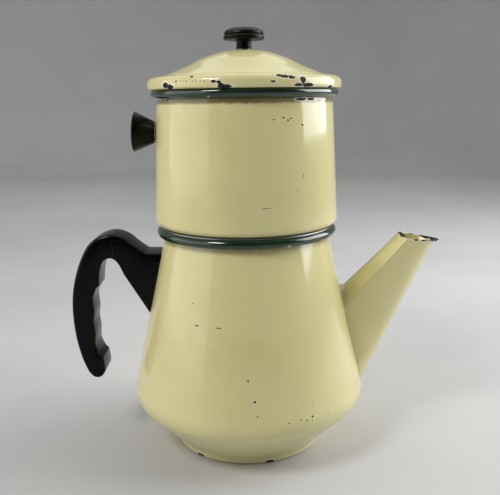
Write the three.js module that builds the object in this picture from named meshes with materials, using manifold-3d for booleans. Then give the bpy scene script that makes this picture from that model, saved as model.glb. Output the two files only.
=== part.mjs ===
// An enamelled steel drip coffee pot: a spouted pot, a coffee basket that hangs in its mouth,
// a water chamber that stands in the basket, and a loose lid. Millimetres, +Z up.
// The origin is on the pot's axis, on the surface that it stands on. The spout points along +X.
import * as THREE from 'three'
import { mergeVertices } from 'three/addons/utils/BufferGeometryUtils.js'
import Module from 'manifold-3d'

const wasm = await Module()
wasm.setup()

// Driving dimensions
const round = 32 // facets round the large turned pieces
const knobRound = 24 // facets round the two big knobs
const smallRound = 16 // facets round screws, washers and the spreader's knob
const gap = 0.3 // between pieces that touch
const slide = 0.8 // between pieces that lift out of each other
const steel = 1.2 // enamelled sheet
const aluminium = 0.8 // basket and spreader sheet

const foot = { radius: 53.3, corner: 2, height: 4.4, bend: 3 }
const shoulder = { radius: 84.55, height: 34.95, corner: 15.5 }
const mouth = { radius: 58.1, height: 152.4 }
const potBead = { radius: 60, height: 155.3, tube: 3.2 }

const basket = { wall: potBead.radius - potBead.tube - slide, floor: 100, step: 127, lower: 52.6 }
basket.flange = potBead.height + potBead.tube + gap
const chamber = { ledge: basket.flange + aluminium + gap, floor: 146, wall: 64.1, corner: 4.5 }
chamber.collar = basket.wall - aluminium - slide
const neck = { radius: 60.6, height: 238.5, rim: 59.9, top: 245.4 }
const chamberBead = { radius: 61, height: 249, tube: 3.3 }

const lid = { brim: 66, crown: 277.4, drop: 1.3, flangeEnd: 244.5, lip: 1 }
lid.seat = chamberBead.height + chamberBead.tube + gap
lid.flange = chamberBead.radius - chamberBead.tube - slide
const lidKnob = { seat: 0.6, stem: 5.1, lip: 13.8, under: 285.2, top: 292.6 }
const coneKnob = { height: 223.4, neck: 7.4, rim: 13.9, length: 17.2 }
const screw = { shank: 2, head: 3.7, headHeight: 2.4, slot: 1, washer: 5.4, thickness: 0.8 }
screw.hole = screw.shank + gap
const blind = { wall: 4, end: 0.4 } // material past a knob's screw hole, and the space left at its end

const handle = { width: 26, bevel: 2.5, fingers: 3, fingerPitch: 17.9, lowestCusp: 62.8 }
handle.screwHole = 7.5 // how far the screw holes run past the middle, away from the heads
const bracket = { saddleWidth: 18, saddleBottom: 104, saddleTop: 137, tongue: 3.2, thickness: 1.6 }

const cream = finish(0xd9cf9c, 0.25)
const green = finish(0x12301f, 0.2)
const phenolic = finish(0x0d0d0e, 0.3)
const spun = finish(0xb9bcc0, 0.4, 1)
const zinc = finish(0x9a9da0, 0.35, 1)

function finish(color, roughness, metalness = 0) {
  return new THREE.MeshStandardMaterial({ color, roughness, metalness })
}

// Outlines in the plane of the turning axis: x is the radius and y is the height.

function point(x, y) {
  return new THREE.Vector2(x, y)
}

// A path through corners [x, y, fillet radius], with each fillet as an arc.
function filleted(corners, steps = 3) {
  const path = []
  corners.forEach(([x, y, fillet = 0], i) => {
    const here = point(x, y)
    if (!fillet) {
      path.push(here)
      return
    }
    const back = point(...corners[i - 1]).sub(here).normalize()
    const on = point(...corners[i + 1]).sub(here).normalize()
    const half = Math.acos(back.dot(on)) / 2
    const middle = back.clone().add(on).normalize().multiplyScalar(fillet / Math.sin(half)).add(here)
    const from = back.clone().multiplyScalar(fillet / Math.tan(half)).add(here).sub(middle)
    const to = on.clone().multiplyScalar(fillet / Math.tan(half)).add(here).sub(middle)
    const sweep = Math.atan2(from.cross(to), from.dot(to))
    for (let k = 0; k <= steps; k++) {
      path.push(from.clone().rotateAround(point(0, 0), (sweep * k) / steps).add(middle))
    }
  })
  return path
}

// The same corners moved sideways by a sheet's thickness, to the left of the way the path runs.
function inset(corners, distance) {
  const lines = corners.slice(1).map((end, i) => {
    const start = point(...corners[i])
    const along = point(...end).sub(start).normalize()
    const side = point(-along.y, along.x).multiplyScalar(distance)
    return { start: start.add(side), along, side }
  })
  return corners.map(([x, y, fillet = 0], i) => {
    const before = lines[i - 1]
    const after = lines[i]
    if (!before || !after) {
      const only = (before || after).side
      return [x + only.x, y + only.y]
    }
    const reach = after.start.clone().sub(before.start).cross(after.along) / before.along.cross(after.along)
    const corner = before.along.clone().multiplyScalar(reach).add(before.start)
    const turn = Math.sign(before.along.cross(after.along))
    return [corner.x, corner.y, fillet ? Math.max(fillet - turn * distance, 0.3) : 0]
  })
}

function circle(x, y, radius, steps = 10) {
  return Array.from({ length: steps }, (_, i) => {
    const angle = (2 * Math.PI * i) / steps
    return point(x + radius * Math.cos(angle), y + radius * Math.sin(angle))
  })
}

// Geometry

// One closed skin: shared vertices merged, and the flat triangles at a turning axis left out.
function closed(geometry) {
  geometry.deleteAttribute('normal')
  geometry.deleteAttribute('uv')
  const merged = mergeVertices(geometry, 1e-4)
  const index = Array.from(merged.index.array)
  const kept = []
  for (let i = 0; i < index.length; i += 3) {
    const [a, b, c] = index.slice(i, i + 3)
    if (a !== b && b !== c && c !== a) kept.push(a, b, c)
  }
  merged.setIndex(kept)
  return merged
}

// A closed outline turned about +Z. It touches the axis where its first and last points have no radius.
function turned(outline, facets = round) {
  const area = THREE.ShapeUtils.area(outline)
  const points = area > 0 ? outline.slice() : outline.slice().reverse()
  const onAxis = points[0].x < 1e-6 && points.at(-1).x < 1e-6
  if (!onAxis) points.push(points[0].clone())
  return closed(new THREE.LatheGeometry(points, facets).rotateX(Math.PI / 2))
}

// A sheet of even thickness turned about +Z, from the corners of its outer side.
function turnedSheet(corners, thickness, facets = round, steps = 3) {
  const inner = filleted(inset(corners, thickness), steps).reverse()
  return turned([...filleted(corners, steps), ...inner], facets)
}

// A solid between rings that all have the same number of points.
function lofted(rings) {
  const count = rings[0].length
  const positions = rings.flat().flatMap((p) => p.toArray())
  const index = []
  for (let r = 0; r + 1 < rings.length; r++) {
    for (let i = 0; i < count; i++) {
      const [a, b] = [r * count + i, r * count + ((i + 1) % count)]
      index.push(a, b + count, b, a, a + count, b + count)
    }
  }
  const last = (rings.length - 1) * count
  for (let i = 1; i + 1 < count; i++) {
    index.push(0, i, i + 1, last, last + i + 1, last + i)
  }
  const geometry = new THREE.BufferGeometry()
  geometry.setAttribute('position', new THREE.Float32BufferAttribute(positions, 3))
  return geometry.setIndex(index)
}

// A flat outline in x and z, thickened along y about the middle plane.
function slab(shape, width, bevel = 0) {
  const geometry = new THREE.ExtrudeGeometry(shape, {
    depth: width - 2 * bevel,
    bevelEnabled: bevel > 0,
    bevelThickness: bevel,
    bevelSize: bevel,
    bevelOffset: -bevel,
    bevelSegments: 1,
    curveSegments: 3,
  })
  return closed(geometry.translate(0, 0, bevel - width / 2).rotateX(Math.PI / 2))
}

function boxOf(low, high) {
  const size = high.map((value, i) => value - low[i])
  const middle = high.map((value, i) => (value + low[i]) / 2)
  return closed(new THREE.BoxGeometry(...size).translate(...middle))
}

// A rod along +Z from one height to another.
function rod(radius, low, high, facets = smallRound) {
  return turned([point(0, low), point(radius, low), point(radius, high), point(0, high)], facets)
}

function washer(inner, outer, low, high) {
  return turned([point(inner, low), point(outer, low), point(outer, high), point(inner, high)], smallRound)
}

function solid(geometry) {
  const mesh = new wasm.Mesh({
    numProp: 3,
    vertProperties: new Float32Array(geometry.attributes.position.array),
    triVerts: new Uint32Array(geometry.index.array),
  })
  return new wasm.Manifold(mesh)
}

function geometryOf(manifold) {
  const { vertProperties, triVerts } = manifold.getMesh()
  const geometry = new THREE.BufferGeometry()
  geometry.setAttribute('position', new THREE.Float32BufferAttribute(vertProperties, 3))
  return geometry.setIndex(Array.from(triVerts))
}

function cut(geometry, ...tools) {
  return geometryOf(tools.reduce((left, tool) => left.subtract(solid(tool)), solid(geometry)))
}

// Evenly spread holes in rings round the axis, six more in each ring.
function pierced(plate, { rings, pitch, radius, low, high }) {
  const drills = []
  for (let ring = 1; ring <= rings; ring++) {
    for (let i = 0; i < 6 * ring; i++) {
      const angle = (2 * Math.PI * i) / (6 * ring)
      const drill = rod(radius, low, high, 6)
      drills.push(drill.translate(ring * pitch * Math.cos(angle), ring * pitch * Math.sin(angle), 0))
    }
  }
  return cut(plate, ...drills)
}

// Pot

const potCorners = [
  [0, 0],
  [foot.radius, 0, foot.corner],
  [foot.radius + 0.2, foot.height, foot.bend],
  [shoulder.radius, shoulder.height, shoulder.corner],
  [mouth.radius, mouth.height],
]

// All that lies inside the pot's outer side, swollen by a margin.
function potBulk(margin) {
  const outline = filleted(inset(potCorners, -margin), 4)
  return turned([...outline, point(0, mouth.height)])
}

// The wall behind the spout is pierced in rows of one and two holes, and strains the coffee.
function potShell() {
  const strainer = { rows: 5, top: 96, pitch: 10, across: 11, radius: 3.6 }
  const drills = []
  for (let row = 0; row < strainer.rows; row++) {
    const count = row % 2 ? 2 : 1
    for (let i = 0; i < count; i++) {
      const y = (i - (count - 1) / 2) * strainer.across
      const drill = rod(strainer.radius, foot.radius, shoulder.radius, 8).rotateY(Math.PI / 2)
      drills.push(drill.translate(0, y, strainer.top - row * strainer.pitch))
    }
  }
  return cut(turnedSheet(potCorners, steel, round, 4), ...drills)
}

// Spout: three lines run from its collar to its mouth. They are the crown of its arched roof,
// the crease where the roof meets the side, and the keel below. Points are x and z.
const spoutRoot = { crown: [70.4, 112.5], crease: [69.2, 100.2], keel: [83.9, 40.1], half: 15.5 }
const spoutLip = { crown: [109, 149.4], crease: [110.4, 147], keel: [132.9, 141.7], half: 12.8 }
const spoutMouth = { crown: [110.2, 150.5], crease: [111.8, 148.2], keel: [138, 145.2], half: 12.5 }
const spoutInner = { crown: [52, 112.5], crease: [52, 100.2], keel: [62, 46], half: 15.5 }
const spoutStations = [spoutInner, spoutRoot, spoutLip, spoutMouth]

function spoutRing({ crown, crease, keel, half }, thickness = 0) {
  const roofSteps = 6
  const sideSteps = 6
  const width = half - thickness
  const inward = point(keel[0] - crown[0], keel[1] - crown[1]).normalize().multiplyScalar(thickness)
  const top = point(...crown).add(inward)
  const fold = point(...crease).add(inward)
  const low = point(...keel).sub(inward)
  const ring = []
  for (let i = 0; i <= roofSteps; i++) {
    const across = -1 + (2 * i) / roofSteps
    const place = top.clone().lerp(fold, across * across)
    ring.push(new THREE.Vector3(place.x, across * width, place.y))
  }
  for (let i = 1; i < 2 * sideSteps; i++) {
    const side = i < sideSteps ? 1 : -1
    const down = i < sideSteps ? i / sideSteps : 2 - i / sideSteps
    const place = fold.clone().lerp(low, down)
    const reach = width * Math.max(1 - down ** 2.2, 0) ** 0.75
    ring.push(new THREE.Vector3(place.x, side * reach, place.y))
  }
  return ring
}

function spoutShape() {
  const outside = lofted(spoutStations.map((station) => spoutRing(station)))
  const rings = spoutStations.map((station) => spoutRing(station, steel))
  const beyond = rings.at(-1).map((p) => p.clone().add(new THREE.Vector3(1.5, 0, 3)))
  const before = rings[0].map((p) => p.clone().add(new THREE.Vector3(-3, 0, 0)))
  const inside = lofted([before, ...rings, beyond])
  return cut(outside, inside, potBulk(gap))
}

// Handle: its outline in x and z, from the top of the wall round the grip and back to the wall.
function handleOutline() {
  const outline = new THREE.Shape()
  outline.moveTo(-50, 140)
  outline.lineTo(-71.5, 140.2)
  outline.splineThru([
    point(-78, 144.9),
    point(-85.5, 151),
    point(-94.5, 154),
    point(-104, 151.8),
    point(-111.5, 146.3),
    point(-117.6, 135.4),
    point(-121.9, 123.2),
    point(-124.6, 110),
    point(-125.3, 95),
    point(-123.9, 78),
    point(-120.6, 63),
    point(-116.6, 52.4),
  ])
  outline.splineThru([point(-112.6, 48.2), point(-107.6, 48.4), point(-104.4, 53.4), point(-105.4, 62.4)])
  // The finger seats, from the lowest up, each an arc between two cusps.
  const cusps = [-105.4, -108.6, -108.5, -105.5]
  for (let i = 1; i <= handle.fingers; i++) {
    const seat = -112.9 - 0.6 * (i % 2)
    const height = handle.lowestCusp + handle.fingerPitch * i
    outline.quadraticCurveTo(seat, height - handle.fingerPitch / 2, cusps[i], height)
  }
  outline.splineThru([
    point(-104.6, 126),
    point(-102.4, 133.2),
    point(-98.2, 136.5),
    point(-94, 135.8),
    point(-90.6, 132),
    point(-87.4, 125),
  ])
  outline.lineTo(-69.9, 96)
  outline.lineTo(-50, 66)
  return outline
}

// The tongue stands in a slot of the web, which has the same outline with a margin.
function tongueOutline(margin) {
  return new THREE.Shape([
    point(-60, 110.5 - margin),
    point(-74.5 - margin, 110.5 - margin),
    point(-85.5 - margin, 125.5 - margin),
    point(-85.5 - margin, 133 + margin),
    point(-60, 133 + margin),
  ])
}

// The saddle lies on the wall. Its clearance in the handle is the same shape with a margin.
function saddle(margin) {
  const skin = solid(potBulk(gap + bracket.thickness + margin))
  const half = bracket.saddleWidth / 2 + margin
  const block = boxOf(
    [-90, -half, bracket.saddleBottom - margin],
    [-50, half, bracket.saddleTop + margin],
  )
  return skin.intersect(solid(block)).subtract(solid(potBulk(gap)))
}

const handleScrews = [
  { name: 'upper', x: -80, z: 128.5 },
  { name: 'lower', x: -73.5, z: 117 },
]
const counterbore = { floor: 7, radius: 4.6, washer: 4.3 }

// A turned piece on the +Z axis laid along +Y at a screw's place.
function acrossHandle(geometry, { x, z }) {
  return geometry.rotateX(-Math.PI / 2).translate(x, 0, z)
}

function handleBracket() {
  const tongue = solid(slab(tongueOutline(0), bracket.tongue)).subtract(solid(potBulk(gap)))
  const whole = geometryOf(saddle(0).add(tongue))
  const drill = (place) => acrossHandle(rod(screw.hole, -handle.screwHole, handle.screwHole), place)
  return cut(whole, ...handleScrews.map(drill))
}

function handleShape() {
  const body = slab(handleOutline(), handle.width, handle.bevel)
  const slot = slab(tongueOutline(gap), bracket.tongue + 2 * gap)
  const drills = handleScrews.flatMap((place) => [
    acrossHandle(rod(screw.hole, -handle.screwHole, handle.width), place),
    acrossHandle(rod(counterbore.radius, counterbore.floor, handle.width), place),
  ])
  return cut(body, potBulk(gap + 0.1), geometryOf(saddle(gap)), slot, ...drills)
}

function handleScrew(place) {
  const seat = counterbore.floor + 2 * gap + screw.thickness
  return acrossHandle(panScrew(seat, gap - handle.screwHole), place)
}

// A slotted screw on +Z: its head stands on the seat, and its shank runs from there to the tip.
function panScrew(seat, tip) {
  const side = Math.sign(seat - tip)
  const top = seat + side * screw.headHeight
  const sorted = (a, b) => [Math.min(a, b), Math.max(a, b)]
  const head = rod(screw.head, ...sorted(seat, top))
  const [slotLow, slotHigh] = sorted(top - side * screw.slot, top + side)
  const slot = boxOf([-screw.head - 1, -screw.slot / 2, slotLow], [screw.head + 1, screw.slot / 2, slotHigh])
  const shank = rod(screw.shank, ...sorted(tip, seat + side * 0.1))
  return geometryOf(solid(cut(head, slot)).add(solid(shank)))
}

// Coffee basket and spreader

function coffeeBasket() {
  const sheet = turnedSheet(
    [
      [0, basket.floor],
      [basket.lower - 0.6, basket.floor, 3],
      [basket.lower, basket.step, 1.2],
      [basket.wall, basket.step, 1.2],
      [basket.wall, basket.flange, 1],
      [basket.wall + 3.5, basket.flange],
    ],
    aluminium,
    round,
    2,
  )
  const low = basket.floor - 1
  return pierced(sheet, { rings: 3, pitch: 14, radius: 1.8, low, high: low + 3 })
}

const spreaderLow = basket.step + aluminium + gap

function spreaderPlate() {
  const outer = basket.wall - aluminium - slide
  const rim = spreaderLow + 2.4
  const disc = turned([
    point(screw.hole, spreaderLow),
    point(outer, spreaderLow),
    point(outer, rim),
    point(outer - aluminium, rim),
    point(outer - aluminium, spreaderLow + aluminium),
    point(screw.hole, spreaderLow + aluminium),
  ])
  return pierced(disc, { rings: 2, pitch: 19, radius: 2.2, low: spreaderLow - 1, high: spreaderLow + 2 })
}

function spreaderKnob() {
  const low = spreaderLow + aluminium + gap
  return turned(
    [
      point(screw.hole, low),
      point(4, low),
      point(3.4, low + 3),
      point(5.6, low + 5),
      point(5.6, low + 6.8),
      point(4, low + 8),
      point(0, low + 8),
      point(0, low + 5),
      point(screw.hole, low + 5),
    ],
    smallRound,
  )
}

function spreaderRivet() {
  const seat = spreaderLow - gap
  return turned(
    [
      point(0, seat - 1),
      point(3, seat - 1),
      point(3.4, seat),
      point(screw.shank, seat),
      point(screw.shank, seat + 5.6),
      point(0, seat + 5.6),
    ],
    smallRound,
  )
}

// Water chamber

function wallTilt() {
  return Math.atan((chamber.wall - neck.radius) / (neck.height - chamber.ledge))
}

// A turned piece on +Z laid along the outward normal of the chamber wall, at the cone knob's height.
function onChamberWall(geometry) {
  const tilt = wallTilt()
  const outer = chamber.wall - Math.tan(tilt) * (coneKnob.height - chamber.ledge)
  return geometry.rotateY(tilt - Math.PI / 2).translate(-outer, 0, coneKnob.height)
}

function chamberShell() {
  const sheet = turnedSheet(
    [
      [0, chamber.floor],
      [chamber.collar, chamber.floor, 3],
      [chamber.collar, chamber.ledge, 1.2],
      [chamber.wall, chamber.ledge, chamber.corner],
      [neck.radius, neck.height],
      [neck.rim, neck.top],
    ],
    steel,
    round,
    2,
  )
  const drilled = cut(sheet, onChamberWall(rod(screw.hole, -4, 3)))
  const low = chamber.floor - 1
  return pierced(drilled, { rings: 2, pitch: 16, radius: 1.8, low, high: low + 4 })
}

function chamberKnob() {
  const { rim, length } = coneKnob
  const start = 2 * gap + screw.thickness
  return onChamberWall(
    turned(
      [
        point(screw.hole, start),
        point(coneKnob.neck, start),
        point(rim - 0.5, length - 3),
        point(rim, length - 2.2),
        point(rim - 0.6, length - 1.3),
        point(rim / 2, length - 0.3),
        point(0, length),
        point(0, length - blind.wall),
        point(screw.hole, length - blind.wall),
      ],
      knobRound,
    ),
  )
}

// Lid

// The crown's outer side lowered by a drop, from the screw hole to the crease where the brim begins.
function crownPoints(drop) {
  const curve = new THREE.SplineCurve([
    point(0, lid.crown),
    point(14, 276.8),
    point(27.6, 272.7),
    point(39, 267.3),
    point(47.4, 263.8),
    point(55.6, 260.7),
  ])
  const points = curve.getPoints(6).map((p) => point(p.x, p.y - drop))
  points[0].x = screw.hole
  return points
}

function lidShell() {
  const { seat, brim, flange, flangeEnd } = lid
  const brimTop = filleted([
    [57, 260.4],
    [brim, 258.9, 3.4],
    [brim, seat - lid.lip, 0.6],
    [brim - steel, seat - lid.lip],
  ])
  const under = [point(brim - 1.8, seat), point(flange, seat), point(flange, flangeEnd)]
  const inside = [
    point(flange - steel, flangeEnd),
    point(flange - steel, seat + steel),
    point(brim - 2.6, seat + steel),
    point(brim - 1.4, seat + 2.6),
    point(brim - 1.4, 256.6),
    point(brim - 3.4, 258),
    point(57, 259.1),
  ]
  return turned([...crownPoints(0), ...brimTop, ...under, ...inside, ...crownPoints(lid.drop).reverse()])
}

function lidKnobShape() {
  const { seat, stem, lip, under, top } = lidKnob
  const start = lid.crown + 2 * gap + seat
  return turned(
    [
      point(screw.hole, start),
      point(stem, start),
      point(stem, under - 3),
      point(stem + 1.6, under),
      point(lip - 0.5, under),
      point(lip, under + 0.6),
      point(lip, under + 2.4),
      point(lip - 1, under + 2.5),
      point(lip - 1, under + 3),
      point(lip - 0.3, under + 3.1),
      point(lip - 1.3, top - 2.4),
      point(lip - 4.5, top - 0.6),
      point(0, top),
      point(0, top - blind.wall),
      point(screw.hole, top - blind.wall),
    ],
    knobRound,
  )
}

// Assembly

const pot = new THREE.Group()

function add(name, geometry, material) {
  const mesh = new THREE.Mesh(geometry, material)
  mesh.name = name
  pot.add(mesh)
}

function bead({ radius, height, tube }) {
  return turned(circle(radius, height, tube))
}

add('pot_shell', potShell(), cream)
add('pot_rim_bead', bead(potBead), green)
add('spout', spoutShape(), cream)
add('handle_bracket', handleBracket(), zinc)
add('handle', handleShape(), phenolic)
for (const place of handleScrews) {
  const low = counterbore.floor + gap
  const flat = washer(screw.hole, counterbore.washer, low, low + screw.thickness)
  add(`handle_washer_${place.name}`, acrossHandle(flat, place), zinc)
  add(`handle_screw_${place.name}`, handleScrew(place), zinc)
}

add('coffee_basket', coffeeBasket(), spun)
add('spreader_plate', spreaderPlate(), spun)
add('spreader_knob', spreaderKnob(), spun)
add('spreader_rivet', spreaderRivet(), spun)

add('chamber_shell', chamberShell(), cream)
add('chamber_rim_bead', bead(chamberBead), green)
add('chamber_knob', chamberKnob(), phenolic)
const knobSeat = washer(screw.hole, coneKnob.neck - 1, gap, gap + screw.thickness)
add('chamber_knob_seat', onChamberWall(knobSeat), zinc)
// The wall curves away from a flat washer inside it, so this one stands further off.
const inWall = -steel - gap - 0.4
const innerWasher = washer(screw.hole, screw.washer, inWall - screw.thickness, inWall)
add('chamber_knob_washer', onChamberWall(innerWasher), zinc)
const wallScrew = panScrew(inWall - screw.thickness - gap, coneKnob.length - blind.wall - blind.end)
add('chamber_knob_screw', onChamberWall(wallScrew), zinc)

add('lid_shell', lidShell(), cream)
add('lid_knob', lidKnobShape(), phenolic)
const onCrown = lid.crown + gap
add('lid_knob_seat', washer(screw.hole, lidKnob.stem - 0.3, onCrown, onCrown + lidKnob.seat), zinc)
const underCrown = lid.crown - lid.drop - gap - 0.2
const lidWasher = washer(screw.hole, screw.washer, underCrown - screw.thickness, underCrown)
add('lid_knob_washer', lidWasher, zinc)
const lidScrew = panScrew(underCrown - screw.thickness - gap, lidKnob.top - blind.wall - blind.end)
add('lid_knob_screw', lidScrew, zinc)

export default pot
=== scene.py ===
from math import acos, atan, cos, pi, radians, sin, sqrt, tan

import bmesh
import bpy
from mathutils import Matrix, Vector


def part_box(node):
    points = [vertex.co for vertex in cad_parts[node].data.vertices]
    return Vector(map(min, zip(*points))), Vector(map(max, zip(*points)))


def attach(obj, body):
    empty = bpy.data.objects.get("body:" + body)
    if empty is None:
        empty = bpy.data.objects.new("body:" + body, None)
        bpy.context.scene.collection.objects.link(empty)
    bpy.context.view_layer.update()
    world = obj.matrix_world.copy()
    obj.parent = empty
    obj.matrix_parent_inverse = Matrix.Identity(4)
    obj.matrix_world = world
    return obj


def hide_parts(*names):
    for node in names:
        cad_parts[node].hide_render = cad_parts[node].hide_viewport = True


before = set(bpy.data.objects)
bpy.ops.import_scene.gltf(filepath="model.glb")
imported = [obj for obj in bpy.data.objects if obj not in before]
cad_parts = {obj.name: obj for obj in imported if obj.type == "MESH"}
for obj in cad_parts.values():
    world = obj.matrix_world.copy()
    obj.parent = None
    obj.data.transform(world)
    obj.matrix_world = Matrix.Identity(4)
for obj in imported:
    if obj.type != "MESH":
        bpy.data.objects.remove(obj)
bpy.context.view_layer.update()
print("frame loaded,", len(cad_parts), "nodes")

mm = 0.001
weld = 2e-6  # metres; points closer than this are merged
turnSteps = 160


def heights(node):
    low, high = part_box(node)
    return low.z / mm, high.z / mm


def halfWidth(node):
    low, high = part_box(node)
    return (high.y - low.y) / 2 / mm


# outlines, in millimetres: x is the distance from the axis, z the height


def rounded(corners, steps=6):
    # a corner's third number is the radius of its arc
    path = []
    for i, corner in enumerate(corners):
        here = Vector(corner[:2])
        fillet = corner[2] if len(corner) > 2 else 0
        if not fillet:
            path.append(tuple(here))
            continue
        back = (Vector(corners[i - 1][:2]) - here).normalized()
        on = (Vector(corners[i + 1][:2]) - here).normalized()
        half = acos(max(-1, min(1, back.dot(on)))) / 2
        middle = here + (back + on).normalized() * (fillet / sin(half))
        start = here + back * (fillet / tan(half)) - middle
        end = here + on * (fillet / tan(half)) - middle
        sweep = start.angle_signed(end)
        for k in range(steps + 1):
            turn = Matrix.Rotation(-sweep * k / steps, 2)
            path.append(tuple(turn @ start + middle))
    return path


def splined(points, steps):
    # a smooth line through the points
    ends = [points[0]] + list(points) + [points[-1]]
    path = []
    for a, b, c, d in zip(ends, ends[1:], ends[2:], ends[3:]):
        for k in range(steps):
            t = k / steps
            path.append(tuple(
                0.5 * (2 * q + (r - p) * t + (2 * p - 5 * q + 4 * r - s) * t * t
                       + (3 * q - p - 3 * r + s) * t ** 3)
                for p, q, r, s in zip(a, b, c, d)
            ))
    return path + [tuple(points[-1])]


def ringAt(radius, height, tube, steps=28, flat=0.96):
    # a closed round section, a little flattened on its inner side
    path = []
    for k in range(steps + 1):
        angle = 2 * pi * k / steps
        reach = tube * cos(angle) * (flat if cos(angle) < 0 else 1)
        path.append((radius + reach, height + tube * sin(angle)))
    return path


# modelling helpers


def startOn(name):
    bpy.ops.object.select_all(action="DESELECT")
    print("  modelling", name)


def named(name):
    piece = bpy.context.object
    piece.name = name
    piece.data.name = name
    return piece


def pick(piece):
    bpy.ops.object.select_all(action="DESELECT")
    piece.select_set(True)
    bpy.context.view_layer.objects.active = piece


def place(piece):
    pick(piece)
    bpy.ops.object.transform_apply(location=True, rotation=True, scale=True)
    return piece


def smooth(piece, angle=35):
    pick(piece)
    bpy.ops.object.shade_smooth_by_angle(angle=radians(angle))
    return piece


def turned(name, outline, steps=None, angle=35):
    # one vertex is drawn along the outline, and the line is spun round the axis
    startOn(name)
    x, z = outline[0]
    bpy.ops.mesh.primitive_circle_add(vertices=3, radius=mm, location=(x * mm, 0, z * mm))
    piece = named(name)
    bpy.ops.object.transform_apply()
    bpy.ops.object.mode_set(mode="EDIT")
    bpy.ops.mesh.select_all(action="SELECT")
    bpy.ops.mesh.merge(type="CENTER")
    for (x0, z0), (x1, z1) in zip(outline, outline[1:]):
        step = ((x1 - x0) * mm, 0, (z1 - z0) * mm)
        bpy.ops.mesh.extrude_region_move(TRANSFORM_OT_translate={"value": step})
    bpy.ops.mesh.select_all(action="SELECT")
    bpy.ops.mesh.spin(steps=steps or turnSteps, angle=2 * pi, center=(0, 0, 0), axis=(0, 0, 1))
    bpy.ops.mesh.select_all(action="SELECT")
    bpy.ops.mesh.remove_doubles(threshold=weld)
    bpy.ops.mesh.normals_make_consistent(inside=False)
    bpy.ops.object.mode_set(mode="OBJECT")
    return smooth(piece, angle)


def lofted(name, rings, closed=False, angle=35):
    # a ring is drawn out through the others; a closed loft ends on its first ring
    startOn(name)
    bpy.ops.mesh.primitive_circle_add(vertices=len(rings[0]), radius=mm)
    piece = named(name)
    for vertex, point in zip(piece.data.vertices, rings[0]):
        vertex.co = Vector(point) * mm
    bpy.ops.object.mode_set(mode="EDIT")
    bpy.ops.mesh.select_all(action="SELECT")
    if not closed:
        bpy.ops.mesh.edge_face_add()
    for before, ring in zip(rings, rings[1:]):
        bpy.ops.mesh.extrude_region_move()
        mesh = bmesh.from_edit_mesh(piece.data)
        for vertex in mesh.verts:
            if vertex.select:
                off = [(Vector(point) * mm - vertex.co).length for point in before]
                vertex.co = Vector(ring[off.index(min(off))]) * mm
        bmesh.update_edit_mesh(piece.data)
    bpy.ops.mesh.select_all(action="SELECT")
    bpy.ops.mesh.remove_doubles(threshold=weld)
    bpy.ops.mesh.normals_make_consistent(inside=False)
    bpy.ops.object.mode_set(mode="OBJECT")
    return smooth(piece, angle)


def thicken(piece, wall):
    pick(piece)
    bpy.ops.object.modifier_add(type="SOLIDIFY")
    modifier = piece.modifiers[-1]
    modifier.thickness = wall * mm
    modifier.offset = -1
    modifier.use_even_offset = True
    bpy.ops.object.modifier_apply(modifier=modifier.name)
    return piece


def carve(piece, cutter):
    pick(piece)
    bpy.ops.object.modifier_add(type="BOOLEAN")
    modifier = piece.modifiers[-1]
    modifier.operation = "DIFFERENCE"
    modifier.solver = "EXACT"
    modifier.object = cutter
    bpy.ops.object.modifier_apply(modifier=modifier.name)
    bpy.data.objects.remove(cutter)
    return piece


def joined(pieces):
    bpy.ops.object.select_all(action="DESELECT")
    for piece in pieces:
        piece.select_set(True)
    bpy.context.view_layer.objects.active = pieces[0]
    bpy.ops.object.join()
    return bpy.context.object


def drill(radius, low, high, vertices=24):
    # a cutter on +Z
    bpy.ops.object.select_all(action="DESELECT")
    bpy.ops.mesh.primitive_cylinder_add(
        vertices=vertices, radius=radius * mm, depth=(high - low) * mm,
        location=(0, 0, (low + high) / 2 * mm))
    bpy.ops.object.transform_apply()
    return bpy.context.object


def sifted(piece, rings, pitch, radius, low, high):
    # rings of drilled holes round the axis, six more in each
    drills = []
    for ring in range(1, rings + 1):
        for i in range(6 * ring):
            angle = 2 * pi * i / (6 * ring)
            hole = drill(radius, low, high, 16)
            hole.location = (ring * pitch * cos(angle) * mm, ring * pitch * sin(angle) * mm, 0)
            drills.append(place(hole))
    return carve(piece, joined(drills))


def shown(piece, body, material, slot, *nodes):
    # the piece gets its finish and body, and stands in for the CAD nodes
    piece.data.materials.clear()
    piece.data.materials.append(material)
    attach(piece, body)
    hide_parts(*nodes)


# shader helpers


class Link:
    # a socket that Python's arithmetic works on, each sum adding a Math node
    def __init__(self, paint, socket):
        self.paint = paint
        self.socket = socket

    def maths(self, operation, first, second):
        return self.paint.node("ShaderNodeMath", {"operation": operation}, [first, second])

    def __add__(self, other):
        return self.maths("ADD", self, other)

    def __sub__(self, other):
        return self.maths("SUBTRACT", self, other)

    def __rsub__(self, other):
        return self.maths("SUBTRACT", other, self)

    def __mul__(self, other):
        return self.maths("MULTIPLY", self, other)

    def __truediv__(self, other):
        return self.maths("DIVIDE", self, other)

    def __pow__(self, other):
        return self.maths("POWER", self, other)

    def over(self, other):
        return self.maths("GREATER_THAN", self, other)

    def least(self, other):
        return self.maths("MINIMUM", self, other)

    def most(self, other):
        return self.maths("MAXIMUM", self, other)

    __radd__ = __add__
    __rmul__ = __mul__


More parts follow.
